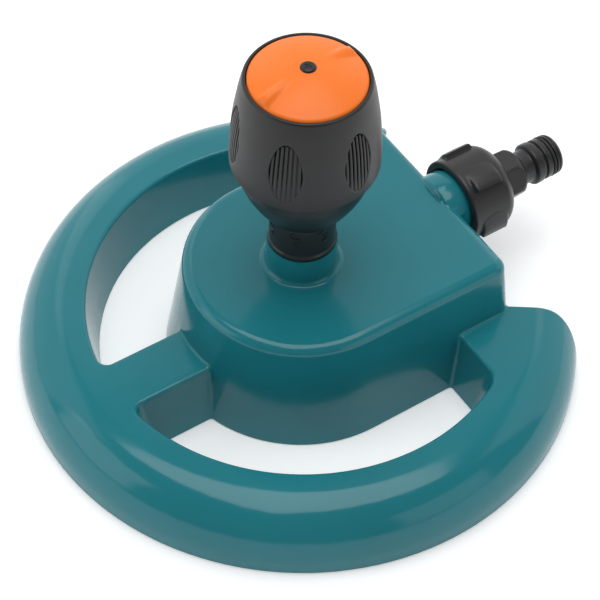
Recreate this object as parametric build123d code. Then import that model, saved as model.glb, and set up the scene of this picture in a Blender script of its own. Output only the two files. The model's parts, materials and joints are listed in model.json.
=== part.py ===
from build123d import *
import os
from math import acos, cos, pi, radians, sin, sqrt, tan

# Garden sprinkler on a sled base. Millimetres, +Z up, floor at Z = 0, head axis on the Z axis.
# The hose inlet points along +X.

os.makedirs("parts", exist_ok=True)

# ---------------------------------------------------------------- driving dimensions
# Sled base
ring_radius = 110.0          # outer edge of the C-shaped ring on the floor
ring_inner = 83.2            # inner wall of the ring, at the top of the slab
slab_top = 25.0              # height of ring, spoke and bridges
nose_width = 19.0            # radial half axis of the ring's rounded outer edge
nose_foot = 3.0              # straight foot under the rounded edge
open_angle = 35.0            # the ring stops this far either side of +X
end_corner = 13.0            # plan radius of the ring's cut ends
end_clearance = 0.3          # keeps the cut ends' corners from touching the rounded edge at a tangent
wall = 2.6                   # moulding wall
deck_top = 48.5              # top of the raised deck
deck_radius_top = 45.0
deck_radius_foot = 52.5
deck_back_top = 65.7         # flat back face of the deck, at its top
deck_back_foot = 67.5
deck_corner = 6.0
deck_round = 4.4             # rounded top edge of the deck
edge_round = 1.4             # rounded top edges of ring, spoke and bridges
root_round = 1.4             # fillet where the deck stands on them
riser_fillet = 2.4
spoke_half = 11.0            # half width of the spoke at its top
pocket_end = 41.3            # where each crescent opening stops, towards the back
pocket_corner = 8.0
pocket_nick = 4.0            # small corner between spoke and ring
pocket_draft = 10.0          # degrees
pocket_root = 38.0           # the crescent cutter runs this far in, under the deck
rib = 2.0

# Water way
inlet_z = 38.2               # axis of the hose inlet
boss_radius = 13.8
boss_front = 61.3
boss_end = 70.4
thread_radius = 13.2         # G3/4 male thread, smooth
thread_end = 84.0
bore_radius = 7.5
filter_seat = 9.5
pipe_radius = 9.8
riser_radius = 13.4
riser_foot = 14.2
riser_top = 61.0
riser_bore = 8.5

# Union nut and hose spigot
nut_mouth = 71.0
nut_end = 92.6
nut_radius = 17.2
nut_bore = 13.5
nut_hole = 11.2
nut_shoulder = 88.6
lug_radius = 19.3
lug_count = 5
lug_first = 27.7             # turn of the first lug about the inlet axis
lug_start = 74.0
lug_end = 88.4
spigot_start = 86.15
spigot_tip = 121.8
spigot_bore = 5.0
flange_radius = 12.9
flange_end = 88.3
neck_radius = 11.0
hex_start = 92.9
hex_end = 102.2
hex_apothem = 9.3
lock_radius = 8.65           # locking flange of the hose connector
barrel_radius = 8.4

# Head
collar_radius = 12.6
collar_lip = 13.1
collar_top = 77.0
tail_radius = 8.9
cone_top = 103.7
cone_radius = 25.4
socket_radius = 20.2         # bearing bore for the housing
port_plate_foot = 88.0
port_plate_top = 90.0
port_circle = 11.0
port_radius = 2.8
port_count = 3
housing_radius = 20.0
housing_bore = 18.2
housing_foot = 90.6
housing_roof = 124.0
housing_top = 127.0
housing_neck = 8.5
neck_top = 133.0
sleeve_foot = 104.0
sleeve_top = 144.0
grip_count = 6
grip_first = -139.5          # direction of the first grip patch
grip_middle = 121.5
grip_half_height = 13.5
grip_half_width = 6.3
groove_count = 6
groove_width = 1.15
disc_radius = 21.4
dome_edge = 144.1
dome_top = 149.1
jet_angle = 7.0              # direction of the two jets in plan
jet_circle = 15.5
channel_z = 136.8

# Gear train
module = 0.4
pressure_angle = radians(25.0)
pinion_teeth = 10
wheel_teeth = 30
addendum = 0.8 * module
dedendum = 1.0 * module
thinning = 0.05              # each tooth is this much narrower than half a pitch
gear_offset = module * (pinion_teeth + wheel_teeth) / 2
half_pitch_turn = 180.0 / pinion_teeth
gear_floor = 100.0           # underside of the first wheel
gear_step = 3.0              # from one gear level to the next
gear_width = 2.0
pinion_reach = 3.3
pin_radius = 0.75
pin_bore = 0.85              # running bore on the pins and the input shaft
press = 0.02                 # clearance of pieces that turn together
case_radius = 16.2
case_bore = 14.8
case_foot = 98.0
case_floor = 99.5
case_top = 112.0
cover_top = 114.0
screw_circle = 12.3
screw_angles = (100.0, 180.0, 260.0)
shaft_radius = 5.0
shaft_running = 5.1
shaft_bore = 3.4
journal_radius = 3.0


# ---------------------------------------------------------------- small helpers
def ring(outer, inner, low, high):
    """Plain ring about the head axis."""
    return Pos(0, 0, low) * extrude(Circle(outer) - Circle(inner), high - low)


def rod(radius, low, high, x=0.0, y=0.0):
    """Plain cylinder parallel to the head axis."""
    return Pos(x, y, (low + high) / 2) * Cylinder(radius, high - low)


def rod_x(radius, start, end, z=inlet_z):
    """Plain cylinder along X."""
    return Pos((start + end) / 2, 0, z) * Rot(0, 90, 0) * Cylinder(radius, end - start)


def turned(points):
    """Solid of revolution about the head axis from (radius, height) points."""
    face = make_face(Polyline(*points, close=True).edges())
    return revolve(Plane.XZ * face, Axis.Z)


def turned_x(points):
    """Solid of revolution about the inlet axis from (x, radius) points."""
    face = make_face(Polyline(*points, close=True).edges())
    return Pos(0, 0, inlet_z) * revolve(Plane.XZ * face, Axis.X)


def around(count, shape, first=0.0):
    """Copies of a shape about the head axis."""
    return [Rot(0, 0, first + 360.0 * i / count) * shape for i in range(count)]


def polar(radius, angle):
    return radius * cos(radians(angle)), radius * sin(radians(angle))


def save(shape, name):
    export_step(shape, f"parts/{name}.step")


# ---------------------------------------------------------------- sled base
def deck_outline(radius, back):
    plan = Circle(radius) + Pos(back / 2, 0) * Rectangle(back, 2 * radius)
    return fillet(plan.vertices().group_by(Axis.X)[-1], deck_corner)


def deck(inset, low):
    """Raised deck: half round with straight sides, drafted, rounded along its top edge."""
    foot = deck_outline(deck_radius_foot - inset, deck_back_foot - inset)
    head = deck_outline(deck_radius_top - inset, deck_back_top - inset)
    block = loft([Pos(0, 0, low) * foot, Pos(0, 0, deck_top - inset) * head], ruled=True)
    return fillet(block.edges().group_by(Axis.Z)[-1], deck_round - inset / 2)


def round_slab(inset, low):
    """Round slab whose outer edge is a quarter of an ellipse."""
    outer = ring_radius - inset
    flat = ring_radius - nose_width
    top = slab_top - inset
    width, height = outer - flat, top - nose_foot
    nose = EllipticalCenterArc((flat, nose_foot), width, height, start_angle=0, arc_size=90)
    rest = Polyline((flat, top), (0, top), (0, low), (outer, low), (outer, nose_foot))
    return revolve(Plane.XZ * make_face([*nose.edges(), *rest.edges()]), Axis.Z)


def ring_plan(inset):
    """Round plan with a wedge left open around +X and rounded ends."""
    reach = 2 * ring_radius
    side = reach * tan(radians(open_angle))
    wedge = make_face(Polyline((0, 0), (reach, side), (reach, -side), close=True).edges())
    plan = Circle(ring_radius + end_clearance) - wedge
    tips = plan.vertices().sort_by(Axis.X)[-2:]
    plan = fillet(tips, end_corner)
    return offset(plan, -inset, kind=Kind.INTERSECTION) if inset else plan


def pocket_plan(height, inset):
    """Outline of one crescent opening at a given height, on the +Y side."""
    grow = inset + (height - slab_top) * tan(radians(pocket_draft))
    left, right = -ring_inner - grow, pocket_end + grow
    low, high = spoke_half - grow, ring_inner + grow
    window = Pos((left + right) / 2, (low + high) / 2) * Rectangle(right - left, high - low)
    plan = (Circle(ring_inner + grow) - Circle(pocket_root)) & window
    far_end = plan.vertices().sort_by(Axis.Y)[-1]
    plan = fillet(far_end, pocket_corner)
    plan = fillet(plan.vertices().sort_by(Axis.X)[0], pocket_nick)
    return Pos(0, 0, height) * plan


def pocket(inset):
    """Cutter of one crescent opening, narrower towards the floor."""
    return loft([pocket_plan(-1, inset), pocket_plan(slab_top + 1, inset)], ruled=True)


def sled(inset, low):
    """C-shaped ring with its spoke and bridges."""
    plan = extrude(Pos(0, 0, -2) * ring_plan(inset), slab_top + 4)
    cutter = pocket(inset)
    return (round_slab(inset, low) & plan) - cutter - mirror(cutter, Plane.XZ)


def rounded_sled():
    """Sled with soft top edges."""
    block = sled(0, 0)
    rim = block.edges().filter_by_position(Axis.Z, slab_top - 0.01, slab_top + 0.01)
    return fillet([e for e in rim if e.length < ring_radius * pi], edge_round)


def riser():
    """Short upright stub that carries the head."""
    foot = deck_top - 4
    return turned([(0, foot), (riser_foot, foot), (riser_radius, riser_top), (0, riser_top)])


def upper_works():
    """Deck and riser, blended together."""
    block = deck(0, 0) + riser()
    circles = block.edges().filter_by(GeomType.CIRCLE)
    seam = circles.filter_by_position(Axis.Z, deck_top - 0.1, deck_top + 0.1).sort_by(SortBy.LENGTH)[0]
    return fillet(seam, riser_fillet)


def on_deck_wall(edge):
    """True for an edge that follows the deck's wall at the height of the slab."""
    middle = edge @ 0.5
    reach = deck_radius_foot - (deck_radius_foot - deck_radius_top) * slab_top / deck_top
    beside = abs(middle.Y) if middle.X > 0 else sqrt(middle.X ** 2 + middle.Y ** 2)
    return abs(beside - reach) < 1.0


def outer_form():
    """Whole outside of the moulding, with a fillet where the deck stands on the slab."""
    block = rounded_sled() + upper_works()
    seams = block.edges().filter_by_position(Axis.Z, slab_top - 0.01, slab_top + 0.01)
    return fillet([e for e in seams if on_deck_wall(e)], root_round)


def boss():
    """Round inlet boss; its top stands above the deck near the back edge."""
    chamfer = 2.0
    points = [(boss_front, 0), (boss_front, boss_radius - chamfer), (boss_front + chamfer, boss_radius),
              (boss_end, boss_radius), (boss_end + 0.6, thread_radius), (thread_end - 1, thread_radius),
              (thread_end, thread_radius - 1), (thread_end, 0)]
    return turned_x(points)


def stiffeners(hollow):
    """Ribs under the deck and webs inside the ring, trimmed to the moulding's own hollow."""
    deck_ribs = [Rot(0, 0, a) * Pos(30, 0, 26) * Box(60, rib, 42) for a in (90, 180, 270)]
    ring_webs = [Rot(0, 0, a) * Pos(94, 0, 13) * Box(34, rib, 24) for a in range(60, 301, 40)]
    return [(piece & hollow) for piece in (*deck_ribs, *ring_webs)]


def base_body():
    """Moulded base: shell, ribs, water pipe and the threaded inlet."""
    hollow = sled(wall, -1) + deck(wall, -1)
    pipe = rod_x(pipe_radius, -riser_bore - wall, boss_end)
    upright = rod(riser_radius - 1, inlet_z - riser_bore, deck_top)
    body = (outer_form() - hollow) + boss() + pipe + upright
    for piece in stiffeners(hollow):
        body = body + piece
    body = body - rod_x(bore_radius, -bore_radius, thread_end + 1)
    body = body - rod(riser_bore, inlet_z, riser_top + 1)
    return body - rod_x(filter_seat, thread_end - 1, thread_end + 1)


# ---------------------------------------------------------------- hose inlet
def inlet_filter():
    """Cup-shaped strainer with a flat collar."""
    cup = turned_x([(77, 0), (77, 6.8), (83.1, 6.8), (83.1, 9.3), (83.95, 9.3), (83.95, 6.0),
                    (77.8, 6.0), (77.8, 0)])
    hole = Pos(77.4, 0, 0) * Rot(0, 90, 0) * Cylinder(0.8, 2)
    holes = [Pos(0, 0, inlet_z) * hole]
    holes += [Pos(0, 0, inlet_z) * Rot(60 * i, 0, 0) * Pos(0, 0, 3.4) * hole for i in range(6)]
    return cup - holes


def coupling_washer():
    disc = rod_x(flange_radius, thread_end + 0.05, spigot_start)
    return disc - rod_x(6.5, thread_end, spigot_start + 1)


def hose_spigot():
    """Quick-connect nipple: trapped flange, neck, hexagon, locking flange and O-ring barrel."""
    trapped = [(spigot_start, spigot_bore), (spigot_start, flange_radius), (flange_end, flange_radius),
               (flange_end, neck_radius), (hex_start, neck_radius), (hex_start, hex_apothem)]
    neck = [(hex_end, hex_apothem), (hex_end + 1.2, 7.2), (hex_end + 2, 6.9), (108.4, 6.9)]
    lock = [(108.6, 8.2), (109.2, lock_radius), (112.0, lock_radius), (112.6, 8.2), (112.8, 7.4)]
    barrel = [(113.6, 7.4), (113.9, barrel_radius), (116.3, barrel_radius), (116.3, 7.0), (118.5, 7.0),
              (118.5, barrel_radius), (119.4, barrel_radius), (119.5, 8.0), (119.8, 8.0)]
    nose = [(119.9, barrel_radius), (120.8, 8.15), (spigot_tip, 7.0), (spigot_tip, spigot_bore)]
    points = trapped + neck + lock + barrel + nose
    plan = Plane.YZ * RegularPolygon(hex_apothem, 6, major_radius=False)
    hexagon = Pos(hex_start, 0, inlet_z) * extrude(plan, hex_end - hex_start)
    trim = turned_x([(hex_start, 0), (hex_start, neck_radius), (hex_end - 1.5, neck_radius),
                     (hex_end, 9.6), (hex_end, 0)])
    return turned_x(points) + ((hexagon & trim) - rod_x(spigot_bore, hex_start - 1, hex_end + 1))


def spigot_o_ring():
    return Pos(117.4, 0, inlet_z) * Rot(0, 90, 0) * Torus(7.76, 0.75)


def coupling_nut():
    """Union nut with five finger lugs, steep on one flank and easy on the other."""
    points = [(nut_mouth, 14.5), (nut_mouth, nut_radius - 0.6), (nut_mouth + 0.6, nut_radius),
              (nut_end - 4.2, nut_radius), (nut_end - 1.5, 15.2), (nut_end, 12.9), (nut_end, nut_hole),
              (nut_shoulder, nut_hole), (nut_shoulder, nut_bore), (nut_mouth + 1.6, nut_bore)]
    section = Polyline((-4.6, 15), (-4.6, 18.4), (-3.6, lug_radius), (2.0, lug_radius),
                       (6.6, 16.4), (6.6, 15), close=True)
    bar = extrude(Plane.YZ * make_face(section.edges()), lug_end - lug_start + 2)
    trim = turned_x([(lug_start, 14.5), (lug_start, 17), (lug_start + 2.2, lug_radius + 1),
                     (lug_end - 3, lug_radius + 1), (lug_end, 17), (lug_end, 14.5)])
    nut = turned_x(points)
    for i in range(lug_count):
        turn = lug_first + 360.0 * i / lug_count
        lug = Pos(0, 0, inlet_z) * Rot(turn, 0, 0) * Pos(lug_start - 1, 0, 0) * bar
        nut = nut + (lug & trim)
    return nut


# ---------------------------------------------------------------- head, fixed half
def riser_collar():
    """Collar pressed into the riser; the head's tail plugs into it."""
    return turned([(6.2, 50), (8.4, 50), (8.4, riser_top), (collar_lip, riser_top),
                   (collar_lip, riser_top + 1.6), (collar_radius, riser_top + 2.2),
                   (collar_radius, collar_top), (9.05, collar_top), (9.05, 63.4), (6.2, 63.4)])


def collar_o_ring():
    return Pos(0, 0, 66.35) * Torus(8.42, 0.6)


def head_base():
    """Cone with a plug tail below and a bearing socket for the housing above."""
    tail = [(6.5, 63.5), (tail_radius, 63.5), (tail_radius, 65.4), (7.8, 65.4), (7.8, 67.3),
            (tail_radius, 67.3), (tail_radius, collar_top)]
    cone = [(12.6, collar_top), (13.6, 77.9), (18.1, 84.0), (22.2, 91.5), (24.5, 98.0),
            (cone_radius, cone_top)]
    rim = [(23.8, cone_top), (23.8, 99.8), (22.6, 98.8), (22.6, cone_top)]
    socket = [(socket_radius, cone_top), (socket_radius, 101.2), (21.1, 101.2), (21.1, 100.0),
              (socket_radius, 100.0), (socket_radius, 90.4), (18.0, 90.4), (18.0, port_plate_foot)]
    funnel = [(15.5, port_plate_foot), (13.0, 82.8), (6.5, 77.2)]
    return turned(tail + cone + rim + socket + funnel)


def port_holes(low, high, slant):
    drill = Rot(slant, 0, 0) * Cylinder(port_radius, high - low + 4)
    return around(port_count, Pos(port_circle, 0, (low + high) / 2) * drill)


def port_plate():
    return rod(17.9, port_plate_foot, port_plate_top) - port_holes(port_plate_foot, port_plate_top, 0)


def retaining_ring():
    """Wire clip in the socket that keeps the housing down."""
    clip = ring(21.0, 19.5, 100.1, 101.1)
    return clip - Rot(0, 0, 180) * Pos(20, 0, 100.6) * Box(8, 9, 4)


# ---------------------------------------------------------------- head, turning half
def housing_o_ring():
    return Pos(0, 0, 96.2) * Torus(19.5, 0.58)


def head_housing():
    """Inner housing with a roof, a bearing neck and grooves for the seal and the clip."""
    seal_groove = [(housing_radius, 95.2), (18.9, 95.2), (18.9, 97.2), (housing_radius, 97.2)]
    clip_groove = [(housing_radius, 99.9), (19.3, 99.9), (19.3, 101.3), (housing_radius, 101.3)]
    sleeve_seat = [(housing_radius, 118.8), (21.4, 118.8), (21.4, 121.0), (housing_radius, 121.0)]
    roof = [(housing_radius, 125.4), (18.6, housing_top), (housing_neck, housing_top)]
    neck = [(housing_neck, neck_top), (7.2, neck_top), (7.2, 129.0), (shaft_running, 129.0),
            (shaft_running, housing_roof), (housing_bore, housing_roof)]
    foot = [(housing_bore, housing_foot), (housing_radius, housing_foot)]
    return turned(foot + seal_groove + clip_groove + sleeve_seat + roof + neck)


def stator_plate():
    """Plate with slanted ports that drives the turbine and shuts the ports below as it turns."""
    disc = rod(17.8, port_plate_top + 0.1, housing_foot) + rod(18.15, housing_foot, 92.6)
    bearing = rod(2.6, 92.6, 94.0)
    return disc + bearing - rod(pin_bore, 89, 95) - port_holes(port_plate_top, 92.6, 28)


def gear_level(index):
    return gear_floor + gear_step * index


def gearbox_case():
    """Cup that keeps water out of the gear train, held in the housing by three lugs."""
    cup = rod(case_radius, case_foot, case_top) - rod(case_bore, case_floor, case_top + 1)
    lugs = around(3, Pos(17.0, 0, 108) * Box(2.0, 4, 8), 40)
    envelope = rod(case_radius, case_foot, case_top)
    for angle in screw_angles:
        place = polar(screw_circle, angle)
        cup = cup + (rod(2.6, case_foot, case_top, *place) & envelope) - rod(0.87, 104, 113, *place)
    pin_hole = rod(pin_radius + press, case_foot + 0.3, 101, gear_offset)
    return cup + lugs - rod(pin_bore, 97, 101) - pin_hole


def gearbox_cover():
    holes = [rod(1.1, 111, 115, *polar(screw_circle, a)) for a in screw_angles]
    disc = rod(case_radius, case_top, cover_top) - rod(shaft_running, 111, 115)
    return disc - rod(pin_radius + press, 111, 113.6, gear_offset) - holes


def gearbox_screws():
    screw = rod(0.85, 105, cover_top) + rod(1.9, cover_top, cover_top + 1.4)
    screw = screw - Pos(0, 0, cover_top + 1.4) * Box(2.4, 0.5, 1.0)
    return Compound(children=[Pos(*polar(screw_circle, a)) * screw for a in screw_angles])


def idler_pin():
    return rod(pin_radius, case_foot + 0.4, 113.5, gear_offset)


def shaft_seal():
    """Lip seal that keeps the water chamber closed round the shaft."""
    return turned([(5.2, 129.1), (7.1, 129.1), (7.1, 131.4), (6.6, 131.4), (5.9, 130.2),
                   (5.4, 131.2), (5.2, 130.2)])


def seal_retainer():
    return ring(7.15, 5.2, 131.5, 132.9)


def sleeve_groove(shift):
    """Cutter of one grip groove: deep at its top end, running out at the bottom."""
    half = grip_half_height * sqrt(1 - (shift / (grip_half_width + 1.2)) ** 2)
    low, high = grip_middle - half, grip_middle + half

    def floor_radius(z):
        return 27.1 - 3.8 * (z - 108.0) / 27.0

    outline = Polyline((floor_radius(low), low), (30, low), (30, high), (floor_radius(high), high),
                       close=True)
    slot = extrude(Plane.XZ * make_face(outline.edges()), groove_width / 2, both=True)
    return Rot(0, 0, shift / 27.0 * 180.0 / pi) * slot


def grip_sleeve():
    """Outer grip: a bulged sleeve with six patches of grooves and a thin rim round the disc."""
    outside = [(25.3, sleeve_foot), (27.0, sleeve_foot), (27.5, sleeve_foot + 0.8), (27.6, 109.0),
               (27.3, 115.0), (26.9, 120.5), (26.3, 126.5), (25.4, 132.0), (24.4, 138.0),
               (23.1, sleeve_top - 0.6), (22.7, sleeve_top)]
    inside = [(21.75, sleeve_top), (21.75, 138.6), (22.2, 135.0), (23.4, 126.0), (23.8, 123.0),
              (20.05, 123.0), (20.05, 121.05), (24.1, 121.05), (24.6, 116.0), (25.3, 108.0)]
    body = turned(outside + inside)
    pitch = 2 * grip_half_width / groove_count
    shifts = [(i - (groove_count - 1) / 2) * pitch for i in range(groove_count)]
    return body - [cut for s in shifts for cut in around(grip_count, sleeve_groove(s), grip_first)]


# ---------------------------------------------------------------- gears
def involute(angle):
    return tan(angle) - angle


def gear_face(teeth):
    """Involute gear outline, a tooth centred on +X; each flank is one arc through three points."""
    pitch_radius = module * teeth / 2
    base_radius = pitch_radius * cos(pressure_angle)
    tip_radius = pitch_radius + addendum
    root_radius = pitch_radius - dedendum
    start_radius = max(base_radius, root_radius)
    half_tooth = pi / (2 * teeth) - thinning / (2 * pitch_radius)

    def flank(radius, side, centre):
        profile = involute(acos(min(1.0, base_radius / radius)))
        spread = half_tooth + involute(pressure_angle) - profile
        return radius * cos(centre + side * spread), radius * sin(centre + side * spread)

    def root(side, centre):
        x, y = flank(start_radius, side, centre)
        return x * root_radius / start_radius, y * root_radius / start_radius

    def curve(side, centre, stops):
        return ThreePointArc(*[flank(radius, side, centre) for radius in stops])

    stops = (start_radius, (start_radius + tip_radius) / 2, tip_radius)
    edges = []
    for i in range(teeth):
        centre = 2 * pi * i / teeth
        following = 2 * pi * (i + 1) / teeth
        if root_radius < base_radius:
            edges.append(Line(root(-1, centre), flank(start_radius, -1, centre)))
            edges.append(Line(flank(start_radius, 1, centre), root(1, centre)))
        edges.append(curve(-1, centre, stops))
        edges.append(Line(flank(tip_radius, -1, centre), flank(tip_radius, 1, centre)))
        edges.append(curve(1, centre, stops[::-1]))
        edges.append(Line(root(1, centre), root(-1, following)))
    return make_face([e for line in edges for e in line.edges()])


def gear(teeth, low, high, turn=0.0):
    return Pos(0, 0, low) * Rot(0, 0, turn) * extrude(gear_face(teeth), high - low)


def cluster(level):
    """Moulded wheel with the pinion of the next level on top, running on a plain pin."""
    low = gear_level(level)
    wheel = gear(wheel_teeth, low, low + gear_width)
    pinion = gear(pinion_teeth, low + gear_width, low + gear_width + pinion_reach, half_pitch_turn)
    return wheel + pinion - rod(pin_bore, low - 1, low + 8)


def turbine_pinion():
    low = gear_level(0) - 0.3
    return gear(pinion_teeth, low, low + 2.9, half_pitch_turn) - rod(pin_radius + press, low - 1, low + 4)


def turbine_shaft():
    return rod(pin_radius, port_plate_top + 0.3, gear_level(3) + 1.3)


def turbine_wheel():
    """Hub, slanted blades and a rim."""
    low, high = 94.3, 97.0
    blade = Pos(8.2, 0, (low + high) / 2) * Rot(40, 0, 0) * Box(11.4, 0.8, 3.0)
    rotor = rod(3.0, low, high)
    for piece in around(10, blade):
        rotor = rotor + (piece & ring(14.0, 2.5, low, high))
    return rotor + ring(14.4, 13.5, low, high) - rod(pin_radius + press, low - 1, high + 1)


def output_gear():
    low = gear_level(3)
    return gear(wheel_teeth, low, low + gear_width) - rod(journal_radius + press, low - 1, low + 4)


# ---------------------------------------------------------------- turning nozzle
def output_shaft():
    """Hollow shaft: water enters at the low ports and leaves at the two high ones."""
    low = gear_level(3)
    shaft = rod(journal_radius, low, 111.3) + rod(shaft_radius, 111.3, 143.5)
    shaft = shaft - rod(shaft_bore, 115, 138.5) - rod(pin_bore, low - 1, low + 1.7) - rod(1.3, 139.6, 144)
    shaft = shaft - around(4, rod_x(2.0, 2.4, 8, 119), 45)
    return shaft - around(2, rod_x(1.7, 2.4, 8, channel_z), jet_angle)


def thrust_washer():
    return ring(8.2, shaft_radius + press, neck_top + 0.15, 133.8)


def nozzle_plate():
    """Carrier under the disc with the two water channels."""
    aim = Rot(0, 0, jet_angle)
    plate = rod(8.2, 133.8, 139.5) + rod(20.5, 139.0, 141.0)
    plate = plate + aim * rod_x(2.9, -17.8, 17.8, channel_z)
    plate = plate - rod(shaft_radius + press, 133, 142)
    plate = plate - aim * rod_x(1.7, -jet_circle, jet_circle, channel_z)
    return plate - [rod(1.5, channel_z, 142, *polar(jet_circle, jet_angle + a)) for a in (0, 180)]


def jet_ridge():
    """Raised nozzle on the disc: a tapered bar that grows towards the rim and ends in a round nose."""
    start, end = Vector(5.5, 0, dome_top - 1.3), Vector(20.0, 0, dome_top - 2.6)
    run = end - start
    bar = Plane(origin=start, z_dir=run) * Pos(0, 0, run.length / 2) * Cone(0.9, 2.6, run.length)
    return bar + Pos(*end) * Sphere(2.6)


def nozzle_disc():
    """Domed disc with two opposite jets and a recess for the centre screw."""
    crown = ThreePointArc((21.0, dome_edge), (11.4, dome_top - 1.3), (0, dome_top))
    under = ThreePointArc((0, dome_top - 1.7), (10.6, dome_top - 3), (19.4, dome_edge - 1))
    rest = Polyline((19.4, dome_edge - 1), (19.4, 141.05), (20.6, 141.05), (20.6, 139.6),
                    (disc_radius, 139.6), (disc_radius, dome_edge - 0.5), (21.0, dome_edge))
    axis_line = Line((0, dome_top), (0, dome_top - 1.7))
    face = make_face([*crown.edges(), *axis_line.edges(), *under.edges(), *rest.edges()])
    disc = revolve(Plane.XZ * face, Axis.Z) + rod(4.2, 143.55, dome_top - 1.0)
    for a in (jet_angle, jet_angle + 180):
        stem = rod(2.5, 141.05, dome_top - 2.7, *polar(jet_circle, a))
        disc = disc + Rot(0, 0, a) * (jet_ridge() & Pos(0, 0, dome_top + 2.1) * Box(60, 20, 14.0)) + stem
        disc = disc - rod(1.3, 141, dome_top - 2.1, *polar(jet_circle, a))
        aim = Plane(origin=(jet_circle, 0, dome_top - 2.5), z_dir=(1, 0, 0.12))
        disc = disc - Rot(0, 0, a) * aim * Pos(0, 0, 5) * Cylinder(0.8, 10)
    return disc - rod(1.4, 143, dome_top + 1) - rod(3.2, dome_top - 0.9, dome_top + 1)


def center_screw():
    """Flat-topped screw with a bevelled edge and a cross recess."""
    seat, top = dome_top - 0.9, dome_top + 0.7
    head = turned([(0, 140), (1.25, 140), (1.25, seat), (3.0, seat), (3.0, top - 0.7), (2.3, top),
                   (0, top)])
    slot = Pos(0, 0, top) * Box(3.0, 0.6, 1.0)
    return head - slot - Rot(0, 0, 90) * slot


# ---------------------------------------------------------------- write the sub-parts
sub_parts = (
    base_body, inlet_filter, coupling_washer, hose_spigot, spigot_o_ring, coupling_nut,
    riser_collar, collar_o_ring, head_base, port_plate, retaining_ring,
    housing_o_ring, head_housing, stator_plate, gearbox_case, gearbox_cover, gearbox_screws,
    idler_pin, shaft_seal, seal_retainer, grip_sleeve,
    turbine_wheel, turbine_shaft, turbine_pinion, output_gear,
    output_shaft, thrust_washer, nozzle_plate, nozzle_disc, center_screw,
)
for make in sub_parts:
    save(make(), make.__name__)

save(Pos(gear_offset, 0, 0) * cluster(0), "gear_1")
save(cluster(1), "gear_2")
save(Pos(gear_offset, 0, 0) * cluster(2), "gear_3")
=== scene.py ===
import json
from math import atan2, cos, exp, hypot, pi, radians, sin, sqrt, tau

import bmesh
import bpy
from mathutils import Matrix, Vector


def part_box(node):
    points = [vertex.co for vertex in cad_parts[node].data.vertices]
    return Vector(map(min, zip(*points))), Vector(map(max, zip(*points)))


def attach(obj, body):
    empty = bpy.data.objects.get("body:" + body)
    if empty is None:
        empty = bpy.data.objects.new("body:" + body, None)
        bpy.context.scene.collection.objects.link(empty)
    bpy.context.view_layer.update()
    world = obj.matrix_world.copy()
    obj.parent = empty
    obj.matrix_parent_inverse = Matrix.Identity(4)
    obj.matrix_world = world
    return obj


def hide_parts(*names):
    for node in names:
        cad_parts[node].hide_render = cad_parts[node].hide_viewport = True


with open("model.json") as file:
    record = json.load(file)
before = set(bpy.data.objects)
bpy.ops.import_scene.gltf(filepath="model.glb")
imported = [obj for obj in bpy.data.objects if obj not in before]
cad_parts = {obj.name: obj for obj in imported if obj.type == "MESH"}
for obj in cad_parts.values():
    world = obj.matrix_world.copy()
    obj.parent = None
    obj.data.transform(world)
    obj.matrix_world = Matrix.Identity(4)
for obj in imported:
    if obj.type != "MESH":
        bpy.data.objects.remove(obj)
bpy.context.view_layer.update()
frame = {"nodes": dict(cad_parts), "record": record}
MM = 0.001


# ---------------------------------------------------------------- sled base
# One injection moulding in glossy teal polypropylene: a C-shaped ring on the ground, a spoke, a raised
# deck and the threaded inlet. It is hollow from below, with ribs. The tool was polished.
def plastic(name, colour, roughness, unevenness=0.06, ripple=0.02, grain=0.0, ior=1.47):
    """Moulded plastic: slow drift of shade and gloss, a soft ripple and, on textured tools, a fine grain."""
    material = bpy.data.materials.new(name)
    material.use_nodes = True
    nodes, links = material.node_tree.nodes, material.node_tree.links
    shader = nodes["Principled BSDF"]
    shader.inputs["IOR"].default_value = ior
    place = nodes.new("ShaderNodeTexCoord")

    drift = nodes.new("ShaderNodeTexNoise")
    drift.inputs["Scale"].default_value = 22.0
    drift.inputs["Detail"].default_value = 4.0
    links.new(place.outputs["Object"], drift.inputs["Vector"])
    shade = nodes.new("ShaderNodeValToRGB")
    shade.color_ramp.elements[0].position = 0.3
    shade.color_ramp.elements[1].position = 0.7
    for element, gain in zip(shade.color_ramp.elements, (1 - unevenness, 1 + unevenness)):
        element.color = [min(1.0, c * gain) for c in colour] + [1.0]
    links.new(drift.outputs["Fac"], shade.inputs["Fac"])
    links.new(shade.outputs["Color"], shader.inputs["Base Color"])

    gloss = nodes.new("ShaderNodeMapRange")
    gloss.inputs["From Min"].default_value = 0.3
    gloss.inputs["From Max"].default_value = 0.7
    gloss.inputs["To Min"].default_value = roughness * 0.92
    gloss.inputs["To Max"].default_value = roughness * 1.08
    links.new(drift.outputs["Fac"], gloss.inputs["Value"])
    links.new(gloss.outputs["Result"], shader.inputs["Roughness"])

    wave = nodes.new("ShaderNodeTexNoise")
    wave.inputs["Scale"].default_value = 90.0
    wave.inputs["Detail"].default_value = 1.0
    links.new(place.outputs["Object"], wave.inputs["Vector"])
    bump = nodes.new("ShaderNodeBump")
    bump.inputs["Strength"].default_value = ripple
    bump.inputs["Distance"].default_value = 0.001
    links.new(wave.outputs["Fac"], bump.inputs["Height"])
    last = bump
    if grain:
        spark = nodes.new("ShaderNodeTexNoise")
        spark.inputs["Scale"].default_value = 2600.0
        spark.inputs["Detail"].default_value = 2.0
        links.new(place.outputs["Object"], spark.inputs["Vector"])
        fine = nodes.new("ShaderNodeBump")
        fine.inputs["Strength"].default_value = grain
        fine.inputs["Distance"].default_value = 0.0002
        links.new(spark.outputs["Fac"], fine.inputs["Height"])
        links.new(bump.outputs["Normal"], fine.inputs["Normal"])
        last = fine
    links.new(last.outputs["Normal"], shader.inputs["Normal"])
    return material


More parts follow.
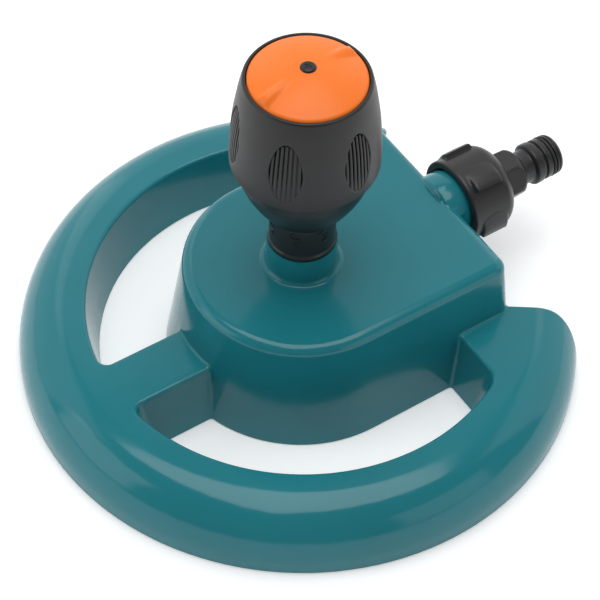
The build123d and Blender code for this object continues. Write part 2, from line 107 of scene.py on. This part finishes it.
def merged_copy(node, name, crease):
    """Copy of a CAD piece with shared corners, smooth faces and creases where the real edge is sharp."""
    source = frame["nodes"][node]
    mesh = source.data.copy()
    mesh.materials.clear()
    work = bmesh.new()
    work.from_mesh(mesh)
    bmesh.ops.remove_doubles(work, verts=work.verts, dist=0.002 * MM)
    bmesh.ops.dissolve_degenerate(work, dist=0.001 * MM, edges=work.edges)
    work.to_mesh(mesh)
    work.free()
    mesh.shade_smooth()
    mesh.set_sharp_from_angle(angle=radians(crease))
    piece = bpy.data.objects.new(name, mesh)
    bpy.context.scene.collection.objects.link(piece)
    return piece


def finish_piece(piece, material, body, slot, *nodes):
    """Paints a piece, hangs it on its body and lets it stand for its CAD nodes."""
    piece.data.materials.clear()
    piece.data.materials.append(material)
    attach(piece, body)
    if nodes:
        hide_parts(*nodes)


teal = plastic("base_teal", (0.012, 0.178, 0.212), 0.14, unevenness=0.05, ripple=0.03, ior=1.42)
sled = merged_copy("base_body", "sled", 28)
even = sled.modifiers.new("even_shading", "WEIGHTED_NORMAL")
even.mode = "FACE_AREA"
even.weight = 60
even.keep_sharp = True
finish_piece(sled, teal, "base", "base_teal", "base_body")


# ---------------------------------------------------------------- collar on the riser
# A short black collar pressed into the base; it has a lip at its foot and small raised turning marks.
# The marks are plain bars and chevrons, moulded on.
def soft(corners, steps=4):
    """Outline through (radius, height, rounding) corners, each corner replaced by a short arc."""
    outline = []
    count = len(corners)
    for i, (x, y, rounding) in enumerate(corners):
        here = Vector((x, y))
        if not rounding:
            outline.append(here)
            continue
        before = Vector(corners[i - 1][:2]) - here
        after = Vector(corners[(i + 1) % count][:2]) - here
        reach = min(rounding, 0.49 * before.length, 0.49 * after.length)
        start = here + before.normalized() * reach
        end = here + after.normalized() * reach
        for k in range(steps + 1):
            t = k / steps
            outline.append(start * (1 - t) ** 2 + here * 2 * t * (1 - t) + end * t ** 2)
    return outline


def fine(outline, step, wanted=None):
    """Outline with its long stretches divided, so that relief has points to move."""
    points = []
    for i, here in enumerate(outline):
        following = outline[(i + 1) % len(outline)]
        parts = max(1, round((following - here).length / step))
        if wanted and not wanted(here):
            parts = 1
        points += [here.lerp(following, k / parts) for k in range(parts)]
    return points


def upright(radius, angle, height):
    return radius * cos(angle) * MM, radius * sin(angle) * MM, height * MM


def turn(name, outline, angles, place=upright, relief=None, crease=40):
    """Closed body of revolution. Outline points are (radius, height); relief moves a point in or out."""
    verts, rings = [], []
    for point in outline:
        radius, height = point
        if radius < 1e-6:
            rings.append([len(verts)])
            verts.append(place(0.0, 0.0, height))
            continue
        ring = []
        for angle in angles:
            moved = relief(radius, angle, height) if relief else (radius, height)
            ring.append(len(verts))
            verts.append(place(moved[0], angle, moved[1]))
        rings.append(ring)
    faces = []
    columns = len(angles)
    for i, lower in enumerate(rings):
        upper = rings[(i + 1) % len(rings)]
        if len(lower) == 1 and len(upper) == 1:
            continue
        for k in range(columns):
            n = (k + 1) % columns
            if len(lower) == 1:
                faces.append((lower[0], upper[n], upper[k]))
            elif len(upper) == 1:
                faces.append((lower[k], lower[n], upper[0]))
            else:
                faces.append((lower[k], lower[n], upper[n], upper[k]))
    mesh = bpy.data.meshes.new(name)
    mesh.from_pydata(verts, [], faces)
    work = bmesh.new()
    work.from_mesh(mesh)
    bmesh.ops.recalc_face_normals(work, faces=work.faces)
    if work.calc_volume(signed=True) < 0:
        bmesh.ops.reverse_faces(work, faces=work.faces)
    work.to_mesh(mesh)
    work.free()
    mesh.shade_smooth()
    mesh.set_sharp_from_angle(angle=radians(crease))
    piece = bpy.data.objects.new(name, mesh)
    bpy.context.scene.collection.objects.link(piece)
    return piece


def even_angles(count):
    return [tau * k / count for k in range(count)]


black_collar = plastic("collar_black", (0.010, 0.010, 0.011), 0.34, ripple=0.05, grain=0.05)
collar_low, collar_high = (corner.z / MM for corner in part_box("riser_collar"))
collar_foot = collar_high - 16.0
collar_radius = 12.6
collar_outline = soft([
    (6.2, collar_low, 0), (8.4, collar_low, 0.3), (8.4, collar_foot, 0), (13.1, collar_foot, 0.5),
    (13.1, collar_foot + 1.7, 0.5), (collar_radius, collar_foot + 2.3, 0.3),
    (collar_radius, collar_high, 0.4),
    (9.05, collar_high, 0), (9.05, collar_foot + 2.4, 0), (6.2, collar_foot + 2.4, 0)])
collar = turn("collar", collar_outline, even_angles(144))
finish_piece(collar, black_collar, "base", "cone_black", "riser_collar")


def ring_of_copies():
    """Geometry nodes: copies of a shape about the head axis, made real and given their material."""
    tree = bpy.data.node_groups.new("ring_of_copies", "GeometryNodeTree")
    face = tree.interface
    face.new_socket("Shape", in_out="INPUT", socket_type="NodeSocketGeometry")
    face.new_socket("Count", in_out="INPUT", socket_type="NodeSocketInt")
    face.new_socket("First angle", in_out="INPUT", socket_type="NodeSocketFloat")
    face.new_socket("Finish", in_out="INPUT", socket_type="NodeSocketMaterial")
    face.new_socket("Ring", in_out="OUTPUT", socket_type="NodeSocketGeometry")
    nodes, links = tree.nodes, tree.links
    given, result = nodes.new("NodeGroupInput"), nodes.new("NodeGroupOutput")
    points = nodes.new("GeometryNodePoints")
    links.new(given.outputs["Count"], points.inputs["Count"])
    index = nodes.new("GeometryNodeInputIndex")
    share = nodes.new("ShaderNodeMath")
    share.operation = "DIVIDE"
    links.new(index.outputs["Index"], share.inputs[0])
    links.new(given.outputs["Count"], share.inputs[1])
    spread = nodes.new("ShaderNodeMath")
    spread.operation = "MULTIPLY_ADD"
    spread.inputs[1].default_value = tau
    links.new(share.outputs[0], spread.inputs[0])
    links.new(given.outputs["First angle"], spread.inputs[2])
    turned = nodes.new("ShaderNodeCombineXYZ")
    links.new(spread.outputs[0], turned.inputs["Z"])
    copies = nodes.new("GeometryNodeInstanceOnPoints")
    links.new(points.outputs[0], copies.inputs["Points"])
    links.new(given.outputs["Shape"], copies.inputs["Instance"])
    links.new(turned.outputs[0], copies.inputs["Rotation"])
    real = nodes.new("GeometryNodeRealizeInstances")
    links.new(copies.outputs[0], real.inputs[0])
    paint = nodes.new("GeometryNodeSetMaterial")
    links.new(real.outputs[0], paint.inputs["Geometry"])
    links.new(given.outputs["Finish"], paint.inputs["Material"])
    links.new(paint.outputs[0], result.inputs[0])
    return tree


def set_round(name, shape, count, first, material):
    """Plain mesh of a shape repeated about the head axis."""
    holder = bpy.data.objects.new(name, shape)
    bpy.context.scene.collection.objects.link(holder)
    modifier = holder.modifiers.new("ring", "NODES")
    modifier.node_group = copies_tree
    values = {"Count": count, "First angle": first, "Finish": material}
    for item in copies_tree.interface.items_tree:
        if item.in_out == "INPUT" and item.name in values:
            modifier[item.identifier] = values[item.name]
    bpy.context.view_layer.update()
    shaped = holder.evaluated_get(bpy.context.evaluated_depsgraph_get())
    mesh = bpy.data.meshes.new_from_object(shaped)
    bpy.data.objects.remove(holder)
    piece = bpy.data.objects.new(name, mesh)
    bpy.context.scene.collection.objects.link(piece)
    return piece


def bar_on_wall(work, ends, width, radius, proud):
    """Small raised bar on a round wall between two (arc length, height) ends."""
    (s0, z0), (s1, z1) = ends
    run = Vector((s1 - s0, z1 - z0))
    side = Vector((-run.y, run.x)).normalized() * width / 2
    corners = []
    start, finish = Vector((s0, z0)), Vector((s1, z1))
    for level, shrink in ((radius - 0.2, 1.0), (radius + proud, 0.7)):
        for end, sign in ((start, 1), (start, -1), (finish, -1), (finish, 1)):
            point = end + side * sign * shrink
            corners.append(work.verts.new(upright(level, point.x / radius, point.y)))
    for a, b, c, d in ((0, 1, 2, 3), (7, 6, 5, 4), (0, 4, 5, 1), (1, 5, 6, 2), (2, 6, 7, 3), (3, 7, 4, 0)):
        work.faces.new([corners[k] for k in (a, b, c, d)])


copies_tree = ring_of_copies()
marks = bpy.data.meshes.new("turning_mark")
work = bmesh.new()
mark_middle = collar_high - 4.6
mark_count = 7
mark_first = radians(-138.3)
mark_width, mark_proud = 0.75, 0.28
for ends in (((-1.9, 2.2), (-0.2, 3.7)), ((-1.9, 2.2), (-0.4, 0.7)), ((-0.4, 0.7), (2.0, 0.7)),
             ((-0.2, -1.9), (1.9, -0.9)), ((-0.2, -1.9), (1.4, -3.6))):
    (s0, z0), (s1, z1) = ends
    placed = ((s0, mark_middle + z0), (s1, mark_middle + z1))
    bar_on_wall(work, placed, mark_width, collar_radius, mark_proud)
bmesh.ops.recalc_face_normals(work, faces=work.faces)
work.to_mesh(marks)
work.free()
turning_marks = set_round("turning_marks", marks, mark_count, mark_first, black_collar)
finish_piece(turning_marks, black_collar, "base", "cone_black")


# ---------------------------------------------------------------- cone under the head
# The fixed lower half of the head, moulded in black: a plug tail, a flaring cone and the bearing socket.
# One fine step runs up its wall where the tool closes.
black_cone = plastic("cone_black", (0.006, 0.006, 0.007), 0.34, ripple=0.05, grain=0.06)
cone_low, cone_high = (corner.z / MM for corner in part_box("head_base"))
cone_foot = collar_high
cone_outline = soft([
    (6.5, cone_low, 0), (8.9, cone_low, 0.3), (8.9, cone_foot, 0), (12.6, cone_foot, 0.3),
    (13.6, cone_foot + 0.9, 0.6), (18.1, cone_foot + 7.0, 3.5), (22.2, cone_foot + 14.5, 3.5),
    (24.5, cone_foot + 21.0, 2.5), (25.4, cone_high, 0.3), (23.8, cone_high, 0), (23.8, 99.8, 0),
    (22.6, 98.8, 0), (22.6, cone_high, 0), (20.2, cone_high, 0), (20.2, 90.4, 0), (18.0, 90.4, 0),
    (18.0, 88.0, 0), (15.5, 88.0, 0), (13.0, 82.8, 0), (6.5, 77.2, 0)])
seam_angle = radians(-113.5)


def cone_relief(radius, angle, height):
    """The tool seam stands a hair proud on one side."""
    above = height - cone_foot
    outer = 0.5 < above < 22 and radius > 12.9 + above * 0.5
    gap = atan2(sin(angle - seam_angle), cos(angle - seam_angle)) * radius
    if not outer or not 0 <= gap < 30:
        return radius, height
    return radius + 0.16 * exp(-gap / 9.0), height


cone_angles = sorted(even_angles(144) + [seam_angle % tau - 0.004, seam_angle % tau + 0.0005])
cone = turn("cone", cone_outline, cone_angles, relief=cone_relief)
finish_piece(cone, black_cone, "base", "cone_black", "head_base")


# ---------------------------------------------------------------- grip sleeve
# The bulged black sleeve that the user turns to set the flow. Six scooped grips stand round it, each with
# seven upright ribs; a thin rim closes round the orange disc. Satin, finely grained plastic.
black_sleeve = plastic("sleeve_black", (0.011, 0.011, 0.012), 0.42, ripple=0.05, grain=0.12)
sleeve_low, sleeve_high = (corner.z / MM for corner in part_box("grip_sleeve"))
grip_count = 6
grip_first = radians(-139.5)
grip_middle = 121.5
grip_half_height = 13.5
grip_half_width = 6.4
grip_radius = 26.9
sleeve_wall = [(27.6, 109.0, 2.0), (27.3, 115.0, 3.0), (26.9, 120.5, 3.0), (26.3, 126.5, 3.0),
               (25.4, 132.0, 3.0), (24.4, 138.0, 2.5)]
sleeve_outline = soft([
    (25.3, sleeve_low, 0), (27.0, sleeve_low, 0.3), (27.5, sleeve_low + 0.8, 0.5), *sleeve_wall,
    (23.1, sleeve_high - 0.6, 0.5), (22.7, sleeve_high, 0.25), (21.75, sleeve_high, 0.2),
    (21.75, 138.6, 0), (22.2, 135.0, 0), (23.4, 126.0, 0), (23.8, 123.0, 0), (20.05, 123.0, 0),
    (20.05, 121.05, 0), (24.1, 121.05, 0), (24.6, 116.0, 0), (25.3, 108.0, 0)], steps=5)


def smooth_step(value):
    value = min(1.0, max(0.0, value))
    return value * value * (3 - 2 * value)


def wall_radius(height):
    """Radius of the sleeve's outside at a height inside the grips."""
    points = [(h, r) for r, h, _ in sleeve_wall]
    for (h0, r0), (h1, r1) in zip(points, points[1:]):
        if height <= h1:
            return r0 + (r1 - r0) * max(0.0, height - h0) / (h1 - h0)
    return points[-1][1]


def grip_shape(shift, height):
    """1 at the middle of a grip and 0 on its outline: an oval with a drawn-up top."""
    up = (height - grip_middle) / grip_half_height
    width = grip_half_width * (1 - 0.16 * max(0.0, up) - 0.04 * max(0.0, -up))
    return 1 - hypot(shift / width, up)


def scoop_depth(height):
    return 0.35 + 1.25 * smooth_step((height - grip_middle + grip_half_height) / (1.5 * grip_half_height))


def nearest_shift(angle, radius):
    pitch = tau / grip_count
    off = (angle - grip_first + pitch / 2) % pitch - pitch / 2
    return off * radius


def sleeve_relief(radius, angle, height):
    if radius < wall_radius(height) - 0.6 or abs(height - grip_middle) > grip_half_height:
        return radius, height
    inside = grip_shape(nearest_shift(angle, radius), height)
    return radius - scoop_depth(height) * smooth_step(inside / 0.085), height


def grip_angles():
    """Columns of the sleeve: close together across each grip, wide apart between grips."""
    pitch = tau / grip_count
    half = (grip_half_width + 0.5) / grip_radius
    dense = [-half + 2 * half * k / 72 for k in range(73)]
    sparse = [half + (pitch - 2 * half) * k / 13 for k in range(1, 13)]
    return [grip_first + pitch * i + a for i in range(grip_count) for a in dense + sparse]


def outside(point):
    """True on the sleeve's outer wall, which alone needs close rows."""
    return point.x > 21.9 + (sleeve_high - point.y) * 0.1


sleeve_rows = fine(sleeve_outline, 0.42, wanted=outside)
sleeve = turn("grip_sleeve_outer", sleeve_rows, grip_angles(), relief=sleeve_relief)
finish_piece(sleeve, black_sleeve, "head", "sleeve_black", "grip_sleeve")


def grip_rib(work, shift):
    """One upright rib: it stands in the scoop and runs out into the wall at both ends."""
    span = sqrt(max(0.0, 1 - (shift / grip_half_width) ** 2)) * grip_half_height
    low, high = grip_middle - span * 0.97, grip_middle + span * 0.93
    half = 0.5
    rows = 22
    section = ((-half, -1.2), (-half, -0.16), (-half * 0.55, 0.0),
               (half * 0.55, 0.0), (half, -0.16), (half, -1.2))
    rings = []
    for k in range(rows + 1):
        t = k / rows
        height = low + (high - low) * t
        top = wall_radius(height) - 0.10 - 0.30 * smooth_step((t - 0.3) / 0.7)
        taper = 0.75 if k in (0, rows) else 1.0
        deep = scoop_depth(height) + 0.3
        ring = []
        for side, level in section:
            radius = top + (level if level > -1 else -deep)
            ring.append(work.verts.new(upright(radius, (shift + side * taper) / grip_radius, height)))
        rings.append(ring)
    count = len(section)
    for lower, upper in zip(rings, rings[1:]):
        for k in range(count):
            n = (k + 1) % count
            work.faces.new((lower[k], lower[n], upper[n], upper[k]))
    work.faces.new(rings[0][::-1])
    work.faces.new(rings[-1])


rib_pitch = 1.72
ribs = bpy.data.meshes.new("grip_rib")
work = bmesh.new()
for index in range(-3, 4):
    grip_rib(work, index * rib_pitch)
bmesh.ops.recalc_face_normals(work, faces=work.faces)
work.to_mesh(ribs)
work.free()
ribs.shade_smooth()
ribs.set_sharp_from_angle(angle=radians(40))
grip_ribs = set_round("grip_ribs", ribs, grip_count, grip_first, black_sleeve)
finish_piece(grip_ribs, black_sleeve, "head", "sleeve_black")


# ---------------------------------------------------------------- nozzle disc
# The glossy orange disc that spins and throws the water: a shallow dome with two opposite jets, each in a
# raised ridge that swells towards the rim and ends in a blunt round nose.
orange = plastic("nozzle_orange", (0.92, 0.185, 0.010), 0.38, unevenness=0.02, ripple=0.03, ior=1.42)
disc_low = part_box("nozzle_disc")[0].z / MM
disc_radius = 21.4
jet_angle = radians(7.0)
dome_foot = disc_low + 4.5
dome_rise = 5.0


def dome_height(radius):
    """Shallow dome with a soft shoulder just inside the rim."""
    share = min(1.0, radius / disc_radius)
    edge = max(0.0, radius - (disc_radius - 0.9)) / 0.9
    return dome_foot + dome_rise * (1 - share ** 2) - 0.5 * edge ** 2


def ridge_height(along, across):
    """Height of a jet ridge over the dome at a place measured from the middle, along its own axis."""
    start, nose = 6.0, 19.5
    if along < start:
        return 0.0
    t = min(1.0, (along - start) / (nose - start))
    half = 1.7 + 1.9 * t
    beyond = max(0.0, along - nose) / 1.8
    from_axis = hypot(across / half, beyond)
    rise = 2.0 * smooth_step(t / 1.1)
    body = (1 + cos(pi * min(1.0, from_axis))) / 2
    dimple = 0.5 * exp(-((along - nose - 0.4) ** 2 + across ** 2) / 0.55)
    return rise * body ** 0.8 - dimple


def disc_relief(radius, angle, height):
    if height < disc_low + 1.5:
        return radius, height
    x, y = radius * cos(angle - jet_angle), radius * sin(angle - jet_angle)
    lift = ridge_height(abs(x), y)
    return radius, dome_height(radius) + lift


def disc_angles():
    """Columns of the disc, close together along the two ridges."""
    half = radians(34)
    dense = [-half + 2 * half * (k / 90) for k in range(91)]
    sparse = [half + (pi - 2 * half) * k / 30 for k in range(1, 30)]
    return [jet_angle + pi * i + a for i in range(2) for a in dense + sparse]


disc_rows = [Vector((disc_radius * (k / 110), dome_foot + 4)) for k in range(1, 111)]
disc_outline = [Vector((0.0, disc_low + 2.0)), *disc_rows,
                Vector((disc_radius, disc_low)), Vector((0.0, disc_low))]


def disc_place(radius, angle, height):
    if radius == 0.0 and height > disc_low + 1:
        return 0.0, 0.0, (dome_foot + dome_rise) * MM
    return upright(radius, angle, height)


disc = turn("nozzle_disc_cap", disc_outline, disc_angles(), place=disc_place, relief=disc_relief, crease=50)
finish_piece(disc, orange, "nozzle", "nozzle_orange", "nozzle_disc")


# ---------------------------------------------------------------- centre screw
# A black flat-topped screw with a bevelled edge holds the disc on the shaft. Its cross recess is shallow.
black_screw = plastic("screw_black", (0.012, 0.012, 0.012), 0.30, ripple=0.04, grain=0.05)
screw_low, screw_high = (corner.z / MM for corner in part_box("center_screw"))
head_foot = screw_high - 1.6


def screw_relief(radius, angle, height):
    """Cross recess in the flat head."""
    if height < screw_high - 0.9 or radius > 2.0:
        return radius, height
    x, y = radius * cos(angle - 0.5), radius * sin(angle - 0.5)
    arm = min(abs(x), abs(y))
    depth = 0.35 * smooth_step((0.42 - arm) / 0.2) * smooth_step((1.6 - radius) / 0.4)
    return radius, height - depth


screw_outline = fine(soft([
    (0.0, screw_high, 0), (2.3, screw_high, 0.35), (3.0, screw_high - 0.65, 0.3), (3.0, head_foot, 0.1),
    (1.25, head_foot, 0), (1.25, screw_low, 0), (0.0, screw_low, 0)]), 0.14)
screw = turn("screw_head", screw_outline, even_angles(96), relief=screw_relief, crease=50)
finish_piece(screw, black_screw, "nozzle", "cone_black", "center_screw")


# ---------------------------------------------------------------- union nut
# The black swivel nut on the inlet thread: a thick mouth, five finger pads that start in a half round,
# rise slowly and drop sharply, and a rounded shoulder. Satin moulded plastic.
black_nut = plastic("nut_black", (0.017, 0.017, 0.018), 0.36, ripple=0.05, grain=0.08)
nut_low, nut_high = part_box("coupling_nut")
hose_mount = next(row for row in frame["record"]["mounts"] if row["name"] == "hose_spigot")
inlet_height = hose_mount["pos_m"][2] / MM
nut_mouth, nut_end = nut_low.x / MM, nut_high.x / MM
lug_count = 5
lug_edge = radians(130.0)
pad_turn = 0.5
pad_middle = (nut_mouth + nut_end) / 2 - 1.3
pad_half = 6.6


def inlet_place(radius, angle, along):
    return along * MM, radius * cos(angle) * MM, (inlet_height + radius * sin(angle)) * MM


def lug_relief(radius, angle, along):
    """Five pads round the nut: each starts in a half round, rises with the turn and drops steeply."""
    if radius < 15.6 or not nut_mouth + 0.3 < along < nut_end - 2.4:
        return radius, along
    pitch = tau / lug_count
    behind = ((angle - lug_edge) % pitch) / pitch
    across = abs(along - pad_middle) / pad_half
    if across >= 1:
        return radius, along
    start = pad_turn * (1 + 0.42 * (1 - sqrt(1 - across ** 2)))
    if behind < start:
        return radius, along
    step = 0.2 * smooth_step((behind - start) / 0.035)
    climb = 1.55 * smooth_step((behind - start) / (0.97 - start))
    ends = smooth_step((1 - across) / 0.16)
    return radius + (step + climb) * smooth_step((1.0 - behind) / 0.022) * ends, along


nut_outline = soft([
    (nut_mouth, 14.6, 0.4), (nut_mouth, 17.2, 1.1), (nut_end - 4.2, 17.2, 2.2), (nut_end - 1.6, 15.2, 1.2),
    (nut_end, 12.9, 0.5), (nut_end, 11.2, 0), (nut_end - 5.4, 11.2, 0), (nut_end - 5.4, 13.5, 0),
    (nut_mouth + 1.6, 13.5, 0.5)])
nut_outline = [Vector((r, x)) for x, r in fine(nut_outline, 0.45)]


def nut_angles():
    """Columns of the nut, close together at each lug's sharp drop."""
    pitch = tau / lug_count
    stops = [0.0, 0.01, 0.03, 0.06] + [0.1 + 0.86 * k / 46 for k in range(47)]
    stops += [0.975, 0.978, 0.982, 0.986, 0.990, 0.994, 0.998]
    return [lug_edge + pitch * (i + s) for i in range(lug_count) for s in stops]


nut = turn("union_nut_outer", nut_outline, nut_angles(), place=inlet_place, relief=lug_relief, crease=42)
finish_piece(nut, black_nut, "union_nut", "coupling_black", "coupling_nut")


# ---------------------------------------------------------------- hose spigot
# The quick-connect nipple, one black moulding: a hexagon shoulder, a neck, the locking flange that the hose
# connector grips, and a barrel with the O-ring groove and a rounded nose.
black_spigot = plastic("spigot_black", (0.018, 0.018, 0.019), 0.33, ripple=0.05, grain=0.06)
spigot_low, spigot_high = (corner.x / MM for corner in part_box("hose_spigot"))
hex_start, hex_end = spigot_low + 6.75, spigot_low + 16.05
flange_start = spigot_high - 12.6
flange_radius = 8.65
barrel_radius = 8.4
hex_apothem = 9.3


def hex_relief(radius, angle, along):
    """Turns the round shoulder into a soft hexagon, trimmed by a cone at both ends."""
    if not hex_start - 0.1 < along < hex_end + 0.1 or radius < 9.0:
        return radius, along
    off = (angle % (pi / 3)) - pi / 6
    flat = hex_apothem / cos(off)
    return min(radius, flat), along


spigot_outline = soft([
    (spigot_low, 5.0, 0), (spigot_low, 12.9, 0.2), (spigot_low + 2.15, 12.9, 0.2),
    (spigot_low + 2.15, 11.0, 0), (hex_start, 11.0, 0.9), (hex_start + 0.2, 10.7, 0.3),
    (hex_end - 2.2, 10.4, 0.9), (hex_end, 9.3, 0.7), (hex_end + 1.2, 7.3, 0.6),
    (hex_end + 2.2, 6.9, 0.6), (flange_start - 0.9, 6.9, 0.5), (flange_start - 0.5, 8.1, 0.3),
    (flange_start, flange_radius, 0.4), (flange_start + 2.8, flange_radius, 0.5),
    (flange_start + 3.4, 8.2, 0.3), (flange_start + 3.6, 7.4, 0.3), (flange_start + 4.4, 7.4, 0.3),
    (flange_start + 4.7, barrel_radius, 0.3), (flange_start + 7.1, barrel_radius, 0.3),
    (flange_start + 7.1, 7.0, 0.2), (flange_start + 9.3, 7.0, 0.2),
    (flange_start + 9.3, barrel_radius, 0.2), (flange_start + 10.2, barrel_radius, 0.15),
    (flange_start + 10.35, 8.0, 0.1), (flange_start + 10.6, 8.0, 0.1),
    (flange_start + 10.7, barrel_radius, 0.2),
    (spigot_high - 0.9, 8.15, 0.5), (spigot_high, 7.0, 0.5), (spigot_high, 5.0, 0.4)])
spigot_outline = [Vector((r, x)) for x, r in fine(spigot_outline, 0.8)]
spigot = turn("spigot_outer", spigot_outline, even_angles(180), place=inlet_place,
              relief=hex_relief, crease=42)
finish_piece(spigot, black_spigot, "spigot", "coupling_black", "hose_spigot")


# ---------------------------------------------------------------- seals
# Black rubber rings: one on the spigot's barrel, where it shows, the others hidden in the joints.
# Matt and slightly powdery.
rubber = plastic("seal_rubber", (0.014, 0.014, 0.014), 0.62, ripple=0.04, grain=0.2)
ring_low, ring_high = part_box("spigot_o_ring")
ring_middle = (ring_low.x + ring_high.x) / 2 / MM
ring_outline = [Vector((7.76 + 0.75 * cos(a), ring_middle + 0.75 * sin(a))) for a in even_angles(20)]
o_ring = turn("barrel_o_ring", ring_outline, even_angles(120), place=inlet_place)
finish_piece(o_ring, rubber, "spigot", "seal_rubber", "spigot_o_ring")


# ---------------------------------------------------------------- pieces inside
# Valve plates, gear train, shaft, seals, clip and screws, hidden in the head. They keep their exact shape
# and get the finish of their own plastic, rubber or steel.
def steel():
    """Bright drawn wire and screw steel with fine scratches along its length."""
    material = bpy.data.materials.new("steel")
    material.use_nodes = True
    nodes, links = material.node_tree.nodes, material.node_tree.links
    shader = nodes["Principled BSDF"]
    shader.inputs["Metallic"].default_value = 1.0
    place = nodes.new("ShaderNodeTexCoord")
    stretch = nodes.new("ShaderNodeMapping")
    stretch.inputs["Scale"].default_value = (900.0, 900.0, 60.0)
    links.new(place.outputs["Object"], stretch.inputs["Vector"])
    scratch = nodes.new("ShaderNodeTexNoise")
    scratch.inputs["Detail"].default_value = 3.0
    links.new(stretch.outputs["Vector"], scratch.inputs["Vector"])
    tone = nodes.new("ShaderNodeValToRGB")
    tone.color_ramp.elements[0].color = (0.42, 0.43, 0.44, 1)
    tone.color_ramp.elements[1].color = (0.62, 0.63, 0.64, 1)
    links.new(scratch.outputs["Fac"], tone.inputs["Fac"])
    links.new(tone.outputs["Color"], shader.inputs["Base Color"])
    gloss = nodes.new("ShaderNodeMapRange")
    gloss.inputs["To Min"].default_value = 0.2
    gloss.inputs["To Max"].default_value = 0.42
    links.new(scratch.outputs["Fac"], gloss.inputs["Value"])
    links.new(gloss.outputs["Result"], shader.inputs["Roughness"])
    return material


finishes = {
    "base_teal": teal,
    "cone_black": black_cone,
    "sleeve_black": black_sleeve,
    "coupling_black": black_nut,
    "nozzle_orange": orange,
    "seal_rubber": rubber,
    "gear_white": plastic("gear_white", (0.78, 0.77, 0.72), 0.38, ripple=0.03),
    "inner_grey": plastic("inner_grey", (0.16, 0.165, 0.17), 0.45, ripple=0.04, grain=0.08),
    "steel": steel(),
    "filter_white": plastic("filter_white", (0.72, 0.73, 0.72), 0.40, ripple=0.03),
}
slot_of = {row["node"]: row["material_slot"] for row in frame["record"]["subparts"]}
for node, piece in frame["nodes"].items():
    piece.data.materials.clear()
    piece.data.materials.append(finishes[slot_of[node]])


# ---------------------------------------------------------------- studio
# A plain pale floor, faintly lit from below, a wide soft box overhead, a pale wall of panels behind,
# and a small box on each side.
floor_mesh = bpy.data.meshes.new("floor")
reach = 3.0
floor_corners = [(-reach, -reach, 0), (reach, -reach, 0), (reach, reach, 0), (-reach, reach, 0)]
floor_mesh.from_pydata(floor_corners, [], [(0, 1, 2, 3)])
floor = bpy.data.objects.new("floor", floor_mesh)
bpy.context.scene.collection.objects.link(floor)
floor.location.z = -0.0004
pale = plastic("pale_floor", (0.95, 0.95, 0.95), 0.85, unevenness=0.01, ripple=0.0)
glow = pale.node_tree.nodes["Principled BSDF"]
glow.inputs["Emission Color"].default_value = (1, 1, 1, 1)
glow.inputs["Emission Strength"].default_value = 0.20
floor_mesh.materials.append(pale)

camera_target = Vector((0.0111, 0.0157, 0.0))
camera_bearing = radians(-124.99)
camera_rise = radians(50.43)
camera_distance = 0.87073
camera_roll = radians(2.10)
look = -Vector((cos(camera_rise) * cos(camera_bearing),
                cos(camera_rise) * sin(camera_bearing),
                sin(camera_rise)))
level = look.cross(Vector((0, 0, 1))).normalized()
above = level.cross(look)
right = level * cos(camera_roll) + above * sin(camera_roll)
up = above * cos(camera_roll) - level * sin(camera_roll)
camera_data = bpy.data.cameras.new("camera")
camera_data.lens = 129.63
camera_data.sensor_width = 36.0
camera = bpy.data.objects.new("camera", camera_data)
bpy.context.scene.collection.objects.link(camera)
turned = Matrix((right, up, -look)).transposed().to_4x4()
camera.matrix_world = Matrix.Translation(camera_target - look * camera_distance) @ turned
bpy.context.scene.camera = camera


def soft_box(name, bearing, rise, distance, width, depth, power):
    """Rectangular light at a bearing and rise seen from the object, facing it."""
    data = bpy.data.lights.new(name, "AREA")
    data.shape = "RECTANGLE"
    data.size = width
    data.size_y = depth
    data.energy = power
    lamp = bpy.data.objects.new(name, data)
    bpy.context.scene.collection.objects.link(lamp)
    a, e = radians(bearing), radians(rise)
    away = Vector((cos(e) * cos(a), cos(e) * sin(a), sin(e)))
    lamp.location = Vector((0, 0, 0.03)) + away * distance
    lamp.rotation_euler = away.to_track_quat("Z", "Y").to_euler()


soft_box("overhead", 55, 90, 1.5, 1.3, 1.3, 15.5)
for number, bearing in enumerate((0, 55, 110)):
    soft_box(f"back_panel_{number}", bearing, 27, 1.6, 1.9, 1.6, 7.0)
soft_box("left_box", 162, 20, 1.5, 0.9, 1.0, 4.0)
soft_box("right_box", -72, 15, 1.5, 0.9, 0.75, 1.7)
world = bpy.data.worlds.new("room")
bpy.context.scene.world = world
world.use_nodes = True
world.node_tree.nodes["Background"].inputs["Color"].default_value = (0.95, 0.97, 1.0, 1)
world.node_tree.nodes["Background"].inputs["Strength"].default_value = 0.2
bpy.context.scene.view_settings.view_transform = "Standard"
